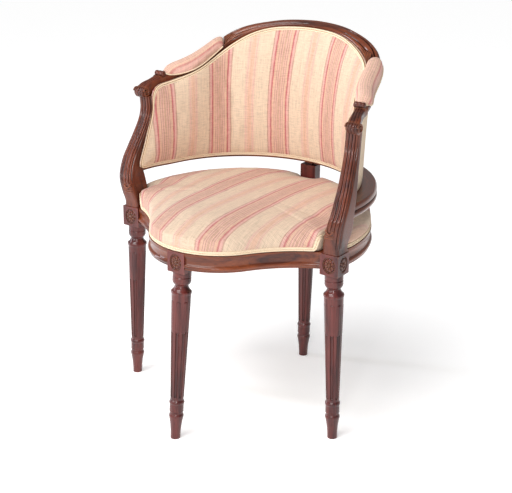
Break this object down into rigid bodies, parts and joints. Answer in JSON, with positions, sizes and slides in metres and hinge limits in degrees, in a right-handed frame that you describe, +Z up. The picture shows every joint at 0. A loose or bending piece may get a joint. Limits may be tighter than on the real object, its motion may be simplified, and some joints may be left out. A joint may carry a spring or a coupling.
{
  "type": "desk armchair",
  "caption": "Low desk armchair with a half-round upholstered back, padded arms, serpentine striped seat and turned, fluted legs at the front, sides and back.",
  "frame": {"origin": "on the floor, in the middle of the chair's box seen from above", "axes": "+Z up, -Y the front of the seat, +X towards the sitter's left arm"},
  "size_m": [0.5794, 0.5481, 0.8135],
  "materials": {
    "show_wood": "reddish brown polished wood, semi-gloss, darker in the carving",
    "frame_wood": "plain unpolished hardwood",
    "screw_steel": "dull steel",
    "striped_cover": "slubby woven cotton, cream with pink, peach and tan stripes",
    "plain_cover": "plain woven cream cloth",
    "welt_cord": "cream covered cord",
    "hessian": "coarse jute cloth",
    "webbing": "woven jute straps",
    "stuffing": "soft wadding under the cover"
  },
  "bodies": {
    "root": {"right_leg": "show_wood", "left_leg": "show_wood", "front_leg": "show_wood", "back_leg": "show_wood", "front_right_rail": "show_wood", "front_left_rail": "show_wood", "back_right_rail": "show_wood", "back_left_rail": "show_wood", "right_arm_support": "show_wood", "left_arm_support": "show_wood", "lower_rail_right": "show_wood", "lower_rail_left": "show_wood", "back_post": "show_wood", "right_arm": "show_wood", "left_arm": "show_wood", "crest_rail": "show_wood", "corner_blocks": "frame_wood", "support_dowels": "frame_wood", "arm_dowels": "frame_wood", "crest_dowels": "frame_wood", "lower_rail_dowels": "frame_wood", "corner_block_screws": "screw_steel", "seat_cover": "striped_cover", "inside_back_cover": "striped_cover", "right_arm_cover": "striped_cover", "left_arm_cover": "striped_cover", "outside_back_cover": "plain_cover", "seat_welt": "welt_cord", "inside_back_welt": "welt_cord", "right_arm_welt": "welt_cord", "left_arm_welt": "welt_cord", "seat_hessian": "hessian", "back_hessian": "hessian", "seat_webbing": "webbing", "back_webbing": "webbing", "seat_stuffing": "stuffing", "back_stuffing": "stuffing", "right_arm_stuffing": "stuffing", "left_arm_stuffing": "stuffing"}
  },
  "joints": []
}
